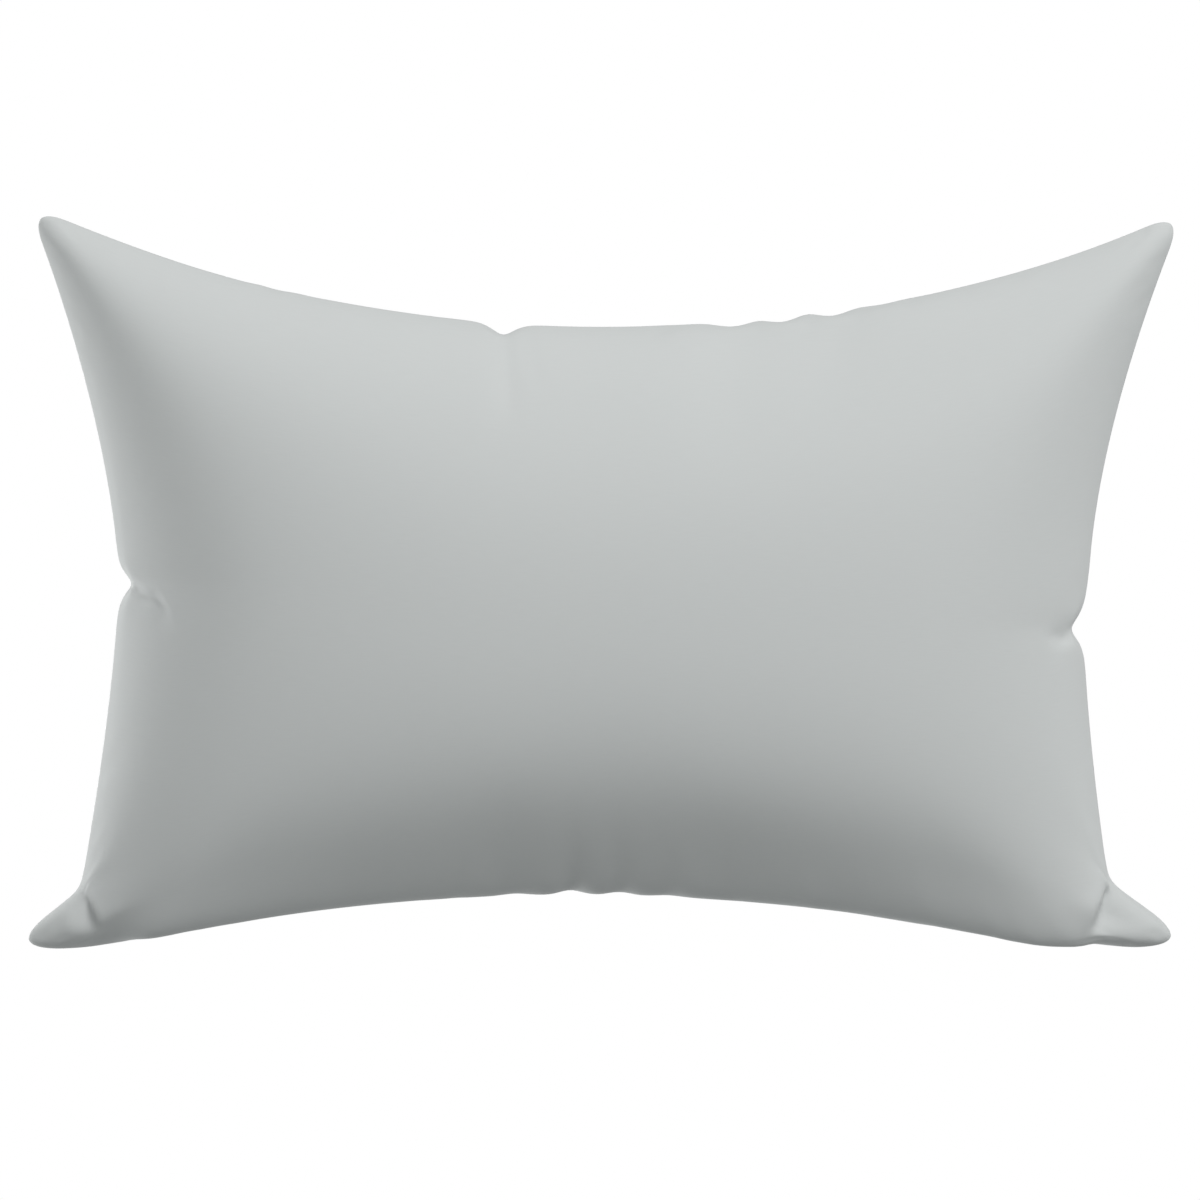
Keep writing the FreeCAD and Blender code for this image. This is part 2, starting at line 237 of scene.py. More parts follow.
ACROSS, DOWN = 125, 85
columns = spread_out(ACROSS, [(0.414, 0.035, 0.9), (0.64, 0.08, 0.35), (0.48, 0.05, 0.2)])
rows = spread_out(DOWN, [(0.475, 0.07, 1.2)])
bottom, right, top, left = cover_sides()
bottom = resampled(bottom, columns * length_along(bottom)[-1])
right = resampled(right, rows * length_along(right)[-1])
top = resampled(top[::-1], columns * length_along(top)[-1])
left = resampled(left[::-1], rows * length_along(left)[-1])


def filled_in():
    """The plan inside four sides: the sum of both ruled surfaces less the one ruled between the corners."""
    e, n = columns[:, None, None], rows[None, :, None]
    ruled = (1 - n) * bottom[:, None] + n * top[:, None] + (1 - e) * left[None] + e * right[None]
    corners = (1 - e) * (1 - n) * bottom[0] + e * (1 - n) * bottom[-1]
    corners = corners + (1 - e) * n * top[0] + e * n * top[-1]
    return ruled - corners


plan = filled_in()


# Where the seam is gathered: one notch at the top, one pinch in each side, and small puckers.
def top_notch(x):
    """Depth of the top side's notch, from 0 to 1."""
    return np.exp(-((np.abs(x + 63.2) / 9.0) ** 1.6))


def left_pinch(y):
    """Depth of the left side's pinch, from 0 to 1."""
    return np.exp(-((np.abs(y + 1.0) / np.where(y > -1.0, 7.4, 8.5)) ** 1.35))


def right_pinch(y):
    """Depth of the right side's pinch, from 0 to 1. It closes faster below than above."""
    return np.exp(-((np.abs(y + 31.0) / np.where(y > -31.0, 10.5, 8.0)) ** 1.4))


def gathered(plan):
    """The plan with its seam drawn in. Each gather dies away within about 20 mm of the seam."""
    drawn = plan.copy()
    x, y = plan[..., 0], plan[..., 1]
    near_top = np.exp(-np.maximum(top[:, None, 1] - y, 0) / 16)
    near_left = np.exp(-np.maximum(x - left[None, :, 0], 0) / 18)
    near_right = np.exp(-np.maximum(right[None, :, 0] - x, 0) / 18)
    pucker = 2.0 * np.cos(2 * math.pi * (x - 84) / 32.5) * bell(x, 124, 48)
    small = 0.6 * np.cos(2 * math.pi * (x + 208) / 24) * bell(x, -208, 22)
    drawn[..., 1] -= (8.3 * top_notch(x) + pucker + small) * near_top
    drawn[..., 0] += 9.6 * left_pinch(y) * near_left
    drawn[..., 0] -= 9.0 * right_pinch(y) * near_right
    return drawn


# ---- cover: the cloth filled out ----------------------------------------------------------------
# Each cloth is let swell from a dome, its seam held, with a little more cloth in the middle and near the
# low corners, where the ears fold out.
LOFT = 118.0
START_CROWN = 0.88
FRONT, BACK = 1, -1
FRAMES = 20
DRAWN_BY = 9              # the frame by which the gathers are drawn in
PRESSURE = 60
GROWTH = (0.005, 0.05)    # how much the cloth grows at the seam, and where it grows most
DOWNWARD = 0.02           # share of gravity that sinks the filling towards the bottom seam


def dome_height(crown):
    """crown times the loft times the product of two rounded profiles."""
    u, v = 2 * columns[:, None] - 1, 2 * rows[None, :] - 1
    rounded = np.clip(1 - np.abs(u) ** 2.6, 0, 1) * np.clip(1 - np.abs(v) ** 2.2, 0, 1)
    return crown * LOFT * np.sqrt(rounded)


def grid_faces(across, down):
    """Quads of a grid of points, facing up where the columns run along +X and the rows along +Y."""
    index = np.arange(across * down).reshape(across, down)
    return np.stack([index[:-1, :-1], index[1:, :-1], index[1:, 1:], index[:-1, 1:]], -1).reshape(-1, 4)


def swollen(plan, drawn, side):
    """Heights and plan of one cloth after it has filled out, in millimetres, as (columns, rows, 3)."""
    height = dome_height(START_CROWN)
    flat = np.concatenate([plan, side * height[..., None]], -1) / 1000
    across, down = height.shape
    faces = grid_faces(across, down)[:, ::side]
    mesh = bpy.data.meshes.new("swelling")
    mesh.from_pydata(flat.reshape(-1, 3).tolist(), [], faces.tolist())
    cloth = bpy.data.objects.new("swelling", mesh)
    scene.collection.objects.link(cloth)
    cloth.shape_key_add(name="Basis")
    pulled = cloth.shape_key_add(name="drawn")
    target = np.concatenate([drawn, side * height[..., None]], -1) / 1000
    pulled.data.foreach_set("co", target.reshape(-1).astype(np.float32))
    for at, value in ((1, 0.0), (DRAWN_BY, 1.0)):
        pulled.value = value
        pulled.keyframe_insert("value", frame=at)
    held = cloth.vertex_groups.new(name="held")
    index = np.arange(across * down).reshape(across, down)
    rim = np.unique(np.concatenate([index[0], index[-1], index[:, 0], index[:, -1]]))
    held.add(rim.tolist(), 1.0, "REPLACE")
    x, y = plan[..., 0], plan[..., 1]
    inward = np.minimum.reduce([
        top[:, None, 1] - y, y - bottom[:, None, 1], x - left[None, :, 0], right[None, :, 0] - x
    ])
    ears = np.exp(-(((np.abs(x) - 335) / 32) ** 2) - ((y + 212) / 26) ** 2)
    share = np.clip(smooth(inward, 0, 120) + 0.9 * ears, 0, 1).reshape(-1)
    grow = cloth.vertex_groups.new(name="grow")
    for at, amount in enumerate(share.tolist()):
        grow.add([at], amount, "REPLACE")
    modifier = cloth.modifiers.new("cloth", "CLOTH")
    settings = modifier.settings
    settings.quality = 8
    settings.mass = 0.003
    settings.tension_stiffness = settings.compression_stiffness = 60
    settings.shear_stiffness = 18
    settings.bending_stiffness = 2
    settings.tension_damping = settings.compression_damping = settings.shear_damping = 10
    settings.bending_damping = 1
    settings.air_damping = 2
    settings.vertex_group_mass = held.name
    settings.use_pressure = True
    settings.uniform_pressure_force = PRESSURE
    settings.shrink_min, settings.shrink_max = -GROWTH[0], -GROWTH[1]
    settings.vertex_group_shrink = grow.name
    settings.effector_weights.gravity = DOWNWARD
    modifier.collision_settings.use_collision = False
    modifier.point_cache.frame_start, modifier.point_cache.frame_end = 1, FRAMES
    scene.gravity = (0, -9.81, 0)
    for at in range(1, FRAMES + 1):
        scene.frame_set(at)
    done = cloth.evaluated_get(bpy.context.evaluated_depsgraph_get())
    co = np.empty(across * down * 3, np.float32)
    done.data.vertices.foreach_get("co", co)
    scene.frame_set(1)
    scene.gravity = (0, 0, -9.81)
    bpy.data.objects.remove(cloth)
    bpy.data.meshes.remove(mesh)
    out = co.reshape(across, down, 3).astype(float) * 1000
    out[..., 2] = np.maximum(side * out[..., 2], 0)
    return out


# ---- cover: overhang, ears and creases ----------------------------------------------------------
def belly_line(x):
    """How far down the body hangs past the bottom seam, with the small puckers under its middle."""
    hang = soft_least(4.19e-4 * (x + 17) ** 2, np.where(x < 0, 34.5, 36.0), 2.5)
    hang = hang - 0.8 * smooth(np.abs(x), 230, 270)
    puckers = 1.4 * bell(x, -55, 9) + 3.2 * bell(x, -20.3, 8) + 2.4 * bell(x, 12, 8) + 1.2 * bell(x, 43, 10)
    return -200.0 - 1.0 * (1 - smooth(np.abs(x), 60, 200)) - hang + puckers


def run_from(panel, axis, far):
    """Distance along the cloth from the seam at one end of each of the grid's lines."""
    turned = np.flip(panel, axis) if far else panel
    step = np.linalg.norm(np.diff(turned, axis=axis), axis=2)
    pad = [(1, 0), (0, 0)] if axis == 0 else [(0, 0), (1, 0)]
    run = np.pad(np.cumsum(step, axis=axis), pad)
    return np.flip(run, axis) if far else run


def pulled_in(panel):
    """The swollen cloth drawn in behind each gather. The pull grows over 5 mm of cloth from the seam and
    dies away over 30 mm."""
    panel = panel.copy()
    x, y = panel[..., 0].copy(), panel[..., 1].copy()
    pulls = []
    for axis, far in ((1, True), (0, False), (0, True)):
        s = run_from(panel, axis, far)
        pulls.append((1 - np.exp(-s / 5)) * np.exp(-s / 30))
    panel[..., 1] -= 7.0 * top_notch(x) * pulls[0]
    panel[..., 0] += 10.0 * left_pinch(y) * pulls[1]
    panel[..., 0] -= 8.0 * right_pinch(y) * pulls[2]
    return panel


def neighbours(grid):
    """The mean of the four neighbours of each inner point."""
    return (grid[:-2, 1:-1] + grid[2:, 1:-1] + grid[1:-1, :-2] + grid[1:-1, 2:]) / 4


def calmed(panel, times):
    """Stray ripples smoothed away, more the further the cloth is from its seam."""
    panel = panel.copy()
    s = np.minimum.reduce([run_from(panel, axis, far) for axis in (0, 1) for far in (False, True)])
    share = smooth(s, 12, 70)[1:-1, 1:-1, None]
    for _ in range(times):
        panel[1:-1, 1:-1] += share * (neighbours(panel) - panel[1:-1, 1:-1])
    return panel


HANG_WIDTH = 26.0         # how far along the cloth from the bottom seam the belly hangs most


def hung(panel, share):
    """The belly let down over the bottom seam, by (s/w)^2 exp(2 - 2 s/w) at s along the cloth from it."""
    panel = panel.copy()
    s = run_from(panel, 1, False)
    curve = (s / HANG_WIDTH) ** 2 * np.exp(2 - 2 * s / HANG_WIDTH)
    for _ in range(4):
        low = panel[:, : DOWN // 2, 1]
        at = low.argmin(axis=1)
        x = panel[np.arange(len(panel)), at, 0]
        seam_y = panel[:, 0, 1]
        wanted = seam_y + share * (belly_line(x) - seam_y)
        short = (low.min(axis=1) - wanted) * (1 - smooth(np.abs(x), 306, 334))
        panel[..., 1] -= short[:, None] * curve
    return panel


def off_line(points, line):
    """Signed distance of points from a line of points, positive on its left, and the share of the line
    passed at the nearest place."""
    best = np.full(points.shape[:-1], 1e9)
    signed = np.zeros_like(best)
    passed = np.zeros_like(best)
    run = length_along(line)
    for k in range(len(line) - 1):
        a, b = line[k], line[k + 1]
        way = (b - a) / np.linalg.norm(b - a)
        t = (points - a) @ way
        inside = np.clip(t, 0, np.linalg.norm(b - a))
        gap = points - (a + inside[..., None] * way)
        far = np.linalg.norm(gap, axis=-1)
        across = (points - a) @ np.array([-way[1], way[0]])
        near = far < best
        best = np.where(near, far, best)
        signed = np.where(near, np.sign(across) * far, signed)
        passed = np.where(near, (run[k] + t) / run[-1], passed)
    return signed, passed


CREASE_FADE = (0.5, 1.1)  # the shares of its length over which a crease dies away


def creased(panel, line, depth, width, lip):
    """A furrow that starts deep at the seam and dies away inward, with a lip that leans over it from the
    left side of the line."""
    panel = panel.copy()
    d, t = off_line(panel[..., :2], np.array(line, float))
    strength = (1 - smooth(t, *CREASE_FADE)) * smooth(panel[..., 2], 0, 6) * smooth(t, -0.6, 0.0)
    panel[..., 2] -= depth * strength * np.exp(-np.abs(d) / width)
    panel[..., 2] += lip * strength * np.exp(-(((d - width) / width) ** 2))
    return panel


EAR_COLUMN = 8            # the column that runs down an ear's crease, counted in from the side
EAR_SHARED = 30           # columns that are shared out again to make room for it
EAR_SPARE = 2.7           # least room left beyond the crease, in columns
EAR_LEAST = 1.2           # an ear's height at its seam, millimetres
EAR_SWELL = 5.0           # how far in from the side an ear fills out, millimetres


def eared(panel, head, foot, plump, rounded, push):
    """The ear that comes out from behind the body along a crease from head to foot. Each row's points are
    shared out again so that one column runs down the crease. Beyond it the height is held to the ear's own:
    least + plump (1 - exp(-u / swell)) times a quarter circle in v / rounded, u and v being the distances
    from the side seam and the bottom seam. The body leans out over it by push."""
    panel = panel.copy()
    head, foot = np.array(head), np.array(foot)
    length = np.linalg.norm(foot - head)
    along = (foot - head) / length
    out = np.array([along[1], -along[0]]) * (1 if head[0] < 0 else -1)
    if head[0] < 0:
        panel = panel[::-1].copy()
    last = panel.shape[0] - 1
    kept = last - EAR_COLUMN
    index = np.arange(last + 1)
    for row in range(1, DOWN // 3):
        line = panel[:, row]
        crossing = np.interp(0, (line[:, :2] - head) @ out, index)
        reached = (np.array([np.interp(crossing, index, line[:, k]) for k in (0, 1)]) - head) @ along
        held = smooth(reached, -22, -4) * (1 - smooth(reached, 0.95 * length, 1.35 * length))
        goal = kept + held * (min(crossing, last - EAR_SPARE) - kept)
        left_alone = kept - EAR_SHARED
        place = np.interp(index, [0, left_alone, kept, last], [0, left_alone, goal, last])
        panel[:, row] = np.stack([np.interp(place, index, line[:, k]) for k in range(3)], 1)
    if head[0] < 0:
        panel = panel[::-1].copy()
    s = (panel[..., :2] - head) @ along
    q = (panel[..., :2] - head) @ out
    run = smooth(s, -9, 1) * (1 - smooth(s, 0.62 * length, 1.35 * length))
    side = left if head[0] < 0 else right
    to_side = np.abs(off_line(panel[..., :2], side)[0])
    to_bottom = np.abs(off_line(panel[..., :2], bottom)[0])
    quarter = np.sqrt(1 - (1 - np.clip(to_bottom / rounded, 0, 1)) ** 2)
    ear = EAR_LEAST + plump * (1 - np.exp(-to_side / EAR_SWELL)) * quarter
    beyond = smooth(q, -0.3, 0.0) * run
    panel[..., 2] = np.minimum(panel[..., 2], panel[..., 2] * (1 - beyond) + ear * beyond)
    lip = np.exp(-((q / 7) ** 2)) * (q < -0.3) * smooth(panel[..., 2] - ear, 1, 6)
    panel[..., :2] += (push * run * lip)[..., None] * out
    return panel


def valley(panel):
    """Keeps the cloth beside the bottom seam back from the zip: at height h it stands out no further than
    0.2 + 0.035 h^2."""
    panel = panel.copy()
    seam_y = np.interp(panel[..., 0], bottom[:, 0], bottom[:, 1])
    stands_out = seam_y - panel[..., 1]
    most = 0.2 + 0.035 * panel[..., 2] ** 2
    near = (stands_out > 0) & (np.abs(panel[..., 0]) < 330)
    panel[..., 1] = np.where(near, seam_y - soft_least(stands_out, most, 0.3), panel[..., 1])
    return panel


drawn_plan = gathered(plan)
front = swollen(plan, drawn_plan, FRONT)
back = swollen(plan, drawn_plan, BACK)
front = valley(hung(pulled_in(calmed(front, 10)), 1.0))
back = valley(hung(pulled_in(calmed(back, 4)), 0.6))
LEFT_EAR = ((-331.8, -196.0), (-324.8, -224.0))
RIGHT_EAR = ((324.4, -192.5), (316.2, -223.0))
front = eared(eared(front, *LEFT_EAR, 15.0, 20.0, 0.6), *RIGHT_EAR, 9.5, 14.0, 3.2)
back = eared(eared(back, *LEFT_EAR, 9.0, 20.0, 1.5), *RIGHT_EAR, 9.0, 20.0, 1.5)
CREASES = (               # each furrow's line inward from the seam, its depth, its width and its lip
    ([(-302, -1), (-297, -4.4), (-292, -8.8), (-284, -9.5), (-277.6, -18), (-275, -30)], 7.5, 3.0, 3.4),
    ([(302, -32), (299, -35), (294, -37), (284, -36)], 11, 3.4, 1.5),
    ([(-63, 157), (-60, 140), (-58, 122), (-59, 100)], 3.2, 6.5, 0.0),
    ([(-50, 160), (-44, 140), (-40, 118)], 1.9, 8, 0.0),
)
for crease in CREASES:
    front = creased(front, *crease)
FLOOR_BLEND = 3.0
back[..., 2] = soft_least(back[..., 2], SEAM - 0.05, FLOOR_BLEND)
back[..., 2] = np.maximum(back[..., 2], 0)


# ---- cover: meshes ------------------------------------------------------------------------------
CLOTH = 0.6               # thickness of the cover's cloth
ZIP_ZONE = (222.0, 228.0)  # the lips close between these distances from the zip's middle
LIP = 0.9                 # the lips' height off the seam's plane along the zip


def rim_of(grid):
    """Indices of a grid's rim in turn, from its first corner along the bottom, then up the right side."""
    across, down = grid.shape[:2]
    index = np.arange(across * down).reshape(across, down)
    return np.concatenate([index[:, 0], index[-1, 1:], index[-2::-1, -1], index[0, -2:0:-1]])


def inward_of(loop):
    """Unit vectors into the outline, eased over the tips."""
    way = np.roll(loop, -1, 0) - np.roll(loop, 1, 0)
    turned = np.stack([-way[:, 1], way[:, 0]], -1)
    turned /= np.linalg.norm(turned, axis=1)[:, None]
    for _ in range(3):
        turned = (np.roll(turned, 1, 0) + 2 * turned + np.roll(turned, -1, 0)) / 4
    return turned / np.linalg.norm(turned, axis=1)[:, None]


def zip_share(loop):
    """1 along the zip and 0 away from it."""
    reach = ARC_RADIUS * np.arctan2(loop[:, 0], loop[:, 1] - ARC_CENTRE_Y)
    return (1 - smooth(np.abs(reach), *ZIP_ZONE)) * (loop[:, 1] < -150)


def cloth_mesh(name, grid, uv, side, turned_in, lips):
    """A cloth from its grid of plan and height, carried on round the seam by its turned-in allowance, whose
    loops are (inset, height, inset along the zip)."""
    rim = rim_of(grid)
    flat = grid.reshape(-1, 3).copy()
    loop = flat[rim, :2]
    into = inward_of(loop)
    zipped = zip_share(loop) if lips else np.zeros(len(loop))
    flat[rim, 2] = 0.04 + LIP * zipped
    rings, ring_uv = [], []
    rim_uv = uv.reshape(-1, 2)[rim]
    outward = rim_uv / np.linalg.norm(rim_uv, axis=1)[:, None]
    for inset, rise, inset_zip in turned_in:
        depth = inset + (inset_zip - inset) * zipped
        at = loop + into * depth[:, None]
        rings.append(np.concatenate([at, (rise + LIP * zipped)[:, None]], 1))
        ring_uv.append(rim_uv + outward * inset / 1000)
    points = np.concatenate([flat] + rings)
    points[:, 2] = SEAM + side * points[:, 2]
    faces = [grid_faces(*grid.shape[:2])]
    inner = rim
    for k in range(len(rings)):
        outer, inner = inner, len(flat) + k * len(rim) + np.arange(len(rim))
        faces.append(np.stack([np.roll(outer, -1), outer, inner, np.roll(inner, -1)], -1))
    faces = np.concatenate(faces)[:, ::side]
    all_uv = np.concatenate([uv.reshape(-1, 2)] + ring_uv)
    return finished_mesh(name, points, faces, all_uv)


def finished_mesh(name, points, faces, uv):
    """A piece from points in millimetres, quads by index and one texture place per point."""
    mesh = bpy.data.meshes.new(name)
    mesh.vertices.add(len(points))
    mesh.vertices.foreach_set("co", (points / 1000).astype(np.float32).reshape(-1))
    mesh.loops.add(faces.size)
    mesh.loops.foreach_set("vertex_index", faces.reshape(-1).astype(np.int32))
    mesh.polygons.add(len(faces))
    mesh.polygons.foreach_set("loop_start", np.arange(0, faces.size, faces.shape[1], dtype=np.int32))
    mesh.update(calc_edges=True)
    mesh.polygons.foreach_set("use_smooth", np.ones(len(faces), bool))
    layer = mesh.uv_layers.new(name="cloth")
    layer.data.foreach_set("uv", uv[faces.reshape(-1)].astype(np.float32).reshape(-1))
    mesh.validate()
    piece = bpy.data.objects.new(name, mesh)
    scene.collection.objects.link(piece)
    return piece


def thickened(piece, thick, divided=True):
    """Smooths a cloth once, if divided, and gives it a thickness on its inner side, in millimetres."""
    if divided:
        finer = piece.modifiers.new("finer", "SUBSURF")
        finer.levels = finer.render_levels = 1
    solid = piece.modifiers.new("thickness", "SOLIDIFY")
    solid.thickness = thick / 1000
    solid.offset = -1.0


def fitted(piece, material, node):
    """Gives a finished piece its material and slot, and fixes it to the pillow in its node's place."""
    piece.data.materials.append(material)
    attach(piece, "pillow")
    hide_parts(node)


CUT_HALF = (0.381, 0.254)  # half the size that each cloth is cut to, metres
cover_uv = np.stack(np.broadcast_arrays(
    (2 * columns[:, None] - 1) * CUT_HALF[0], (2 * rows[None, :] - 1) * CUT_HALF[1]
), -1)


# ---- cover: cloth material ----------------------------------------------------------------------
def node_group(name, inputs, outputs):
    """An empty group with those sockets, as (name, type) pairs, and its input and output nodes."""
    group = bpy.data.node_groups.new(name, "ShaderNodeTree")
    for socket, kind in inputs:
        group.interface.new_socket(name=socket, in_out="INPUT", socket_type=kind)
    for socket, kind in outputs:
        group.interface.new_socket(name=socket, in_out="OUTPUT", socket_type=kind)
    return group, group.nodes.new("NodeGroupInput"), group.nodes.new("NodeGroupOutput")


def maths(tree, operation, *values):
    """One Math node. Each value is a number or an output to link."""
    node = tree.nodes.new("ShaderNodeMath")
    node.operation = operation
    for socket, value in zip(node.inputs, values):
        if isinstance(value, (int, float)):
            socket.default_value = value
        else:
            tree.links.new(value, socket)
    return node.outputs[0]


def noise(tree, place, scale, detail=2.0, distortion=0.0):
    """Noise at a place, from 0 to 1."""
    node = tree.nodes.new("ShaderNodeTexNoise")
    node.inputs["Scale"].default_value = scale
    node.inputs["Detail"].default_value = detail
    node.inputs["Distortion"].default_value = distortion
    tree.links.new(place, node.inputs["Vector"])
    return node.outputs["Fac"]


def weave_group(name, skip):
    """Over and under threads: |sin(pi u)| where floor(v) + skip floor(u) is even, |sin(pi v)| elsewhere."""
    group, given, result = node_group(
        name, [("Place", "NodeSocketVector"), ("Threads per metre", "NodeSocketFloat")],
        [("Height", "NodeSocketFloat"), ("Tone", "NodeSocketFloat")],
    )
    split = group.nodes.new("ShaderNodeSeparateXYZ")
    group.links.new(given.outputs["Place"], split.inputs[0])
    u = maths(group, "MULTIPLY", split.outputs["X"], given.outputs["Threads per metre"])
    v = maths(group, "MULTIPLY", split.outputs["Y"], given.outputs["Threads per metre"])
    crown_u = maths(group, "ABSOLUTE", maths(group, "SINE", maths(group, "MULTIPLY", u, math.pi)))
    crown_v = maths(group, "ABSOLUTE", maths(group, "SINE", maths(group, "MULTIPLY", v, math.pi)))
    skipped = maths(group, "MULTIPLY", maths(group, "FLOOR", u), skip)
    order = maths(group, "ADD", maths(group, "FLOOR", v), skipped)
    over = maths(group, "LESS_THAN", maths(group, "FLOORED_MODULO", order, 1 + skip), 0.5)
    under = maths(group, "SUBTRACT", 1.0, over)
    half_u = maths(group, "ADD", 0.5, maths(group, "MULTIPLY", crown_u, 0.5))
    half_v = maths(group, "ADD", 0.5, maths(group, "MULTIPLY", crown_v, 0.5))
    on_top = maths(group, "MULTIPLY", over, maths(group, "MULTIPLY", crown_u, half_v))
    below = maths(group, "MULTIPLY", under, maths(group, "MULTIPLY", crown_v, half_u))
    height = maths(group, "ADD", on_top, below)
    group.links.new(height, result.inputs["Height"])
    stretch = group.nodes.new("ShaderNodeCombineXYZ")
    group.links.new(maths(group, "MULTIPLY", u, 0.03), stretch.inputs["X"])
    group.links.new(maths(group, "MULTIPLY", v, 0.7), stretch.inputs["Y"])
    group.links.new(noise(group, stretch.outputs[0], 1.0), result.inputs["Tone"])
    return group


PLAIN_WEAVE = weave_group("plain_weave", 1)
TWILL_WEAVE = weave_group("twill_weave", 2)


def new_material(name):
    """A material, its node tree and its shader."""
    material = bpy.data.materials.new(name)
    material.use_nodes = True
    return material, material.node_tree, material.node_tree.nodes["Principled BSDF"]


def bumped(tree, height, distance, strength=1.0):
    """Raises a material's surface by that height, distance metres at most."""
    bump = tree.nodes.new("ShaderNodeBump")
    bump.inputs["Strength"].default_value = strength
    bump.inputs["Distance"].default_value = distance
    tree.links.new(height, bump.inputs["Height"])
    tree.links.new(bump.outputs["Normal"], tree.nodes["Principled BSDF"].inputs["Normal"])


def cloth_material(name, colour, weave, threads, depth, rough=0.9, sheen=0.15, tone=0.05, bumpy=0.5):
    """Woven cloth. Its threads' tone varies by that share, and broad areas by a third of it."""
    material, tree, shader = new_material(name)
    shader.inputs["Sheen Weight"].default_value = sheen
    shader.inputs["Sheen Roughness"].default_value = 0.5
    shader.inputs["Specular IOR Level"].default_value = 0.25
    place = tree.nodes.new("ShaderNodeUVMap")
    place.uv_map = "cloth"
    woven = tree.nodes.new("ShaderNodeGroup")
    woven.node_tree = weave
    woven.inputs["Threads per metre"].default_value = threads
    tree.links.new(place.outputs["UV"], woven.inputs["Place"])
    broad = noise(tree, tree.nodes.new("ShaderNodeTexCoord").outputs["Object"], 9.0, 3.0)
    thread_tone = maths(tree, "MULTIPLY", maths(tree, "SUBTRACT", woven.outputs["Tone"], 0.5), tone)
    broad_tone = maths(tree, "MULTIPLY", maths(tree, "SUBTRACT", broad, 0.5), tone / 3)
    shade = maths(tree, "ADD", 1.0, maths(tree, "ADD", thread_tone, broad_tone))
    mixed = tree.nodes.new("ShaderNodeMix")
    mixed.data_type = "RGBA"
    mixed.blend_type = "MULTIPLY"
    mixed.inputs["Factor"].default_value = 1.0
    mixed.inputs["A"].default_value = (*colour, 1)
    grey = tree.nodes.new("ShaderNodeCombineXYZ")
    for socket in grey.inputs:
        tree.links.new(shade, socket)
    tree.links.new(grey.outputs[0], mixed.inputs["B"])
    tree.links.new(mixed.outputs["Result"], shader.inputs["Base Color"])
    worn = maths(tree, "MULTIPLY", broad, 0.12)
    tree.links.new(maths(tree, "ADD", rough - 0.06, worn), shader.inputs["Roughness"])
    bumped(tree, woven.outputs["Height"], depth / 1000, bumpy)
    return material


COVER_GREY = (0.620, 0.637, 0.632)
cover_cloth = cloth_material("cover_cotton", COVER_GREY, PLAIN_WEAVE, 2400, 0.04)
COVER_TURNED_IN = [(0.7, 0.05, 0.7), (5.0, 0.10, 2.4), (10.0, 0.10, 3.9)]
for name, grid, side, node in (
    ("front_cover", front, FRONT, "cover_front_panel"), ("back_cover", back, BACK, "cover_back_panel")
):
    cover = cloth_mesh(name, grid, cover_uv, side, COVER_TURNED_IN, True)
    thickened(cover, CLOTH)
    fitted(cover, cover_cloth, node)


# ---- cover: sewing ------------------------------------------------------------------------------
# Spun polyester thread: a lockstitch through both turned-in allowances, and an overlock round their raw
# edges. Both stop where the zip starts.
def seam_path(inset, step):
    """The seam's plan line inset by that much, every step, from the right end of the zip round to the left,
    with unit vectors inward."""
    loop = front.reshape(-1, 3)[rim_of(front), :2]
    into = inward_of(loop)
    line = np.concatenate([loop + into * inset, into], 1)
    away = zip_share(loop) < 0.5
    start = int(np.flatnonzero(away & ~np.roll(away, 1))[0])
    line = np.roll(line, -start, axis=0)[: int(away.sum())]
    run = length_along(line[:, :2])
    at = np.arange(0, run[-1], step)
    out = np.stack([np.interp(at, run, line[:, k]) for k in range(4)], -1)
    return out[:, :2], out[:, 2:], at


THREAD_SIDES = 6


def tube(path, radius, beside=(0, 0, 1)):
    """Points, quads and texture places of a round thread along a path. Its rings are square to the path,
    and beside is a direction that the path never takes."""
    way = np.gradient(path, axis=0)
    way /= np.linalg.norm(way, axis=1)[:, None]
    across = np.cross(way, np.broadcast_to(np.array(beside, float), way.shape))
    across /= np.linalg.norm(across, axis=1)[:, None]
    up = np.cross(across, way)
    sides = THREAD_SIDES
    turn = np.arange(sides) * 2 * math.pi / sides
    ring = across[:, None] * np.cos(turn)[None, :, None] + up[:, None] * np.sin(turn)[None, :, None]
    points = (path[:, None] + radius * ring).reshape(-1, 3)
    index = np.arange(len(path) * sides).reshape(len(path), sides)
    after = np.roll(index, -1, axis=1)
    faces = np.stack([index[:-1], after[:-1], after[1:], index[1:]], -1).reshape(-1, 4)
    uv = np.stack(np.broadcast_arrays(
        length_along(path)[:, None] / 1000, turn[None] * radius / 1000
    ), -1).reshape(-1, 2)
    start, end = len(points), len(points) + 1
    caps = []
    for k in range(0, sides, 2):
        caps.append((index[0, (k + 2) % sides], index[0, (k + 1) % sides], index[0, k], start))
        caps.append((index[-1, k], index[-1, (k + 1) % sides], index[-1, (k + 2) % sides], end))
    points = np.concatenate([points, path[:1], path[-1:]])
    uv = np.concatenate([uv, uv[:1], uv[-1:]])
    return points, np.concatenate([faces, np.array(caps)]), uv


def joined(name, parts):
    """One piece from several lots of points, quads and texture places."""
    points, faces, uv, start = [], [], [], 0
    for some_points, some_faces, some_uv in parts:
        points.append(some_points)
        faces.append(some_faces + start)
        uv.append(some_uv)
        start += len(some_points)
    return finished_mesh(name, np.concatenate(points), np.concatenate(faces), np.concatenate(uv))


TWIST = 9000              # ridges' phase, radians per metre along a thread and round it


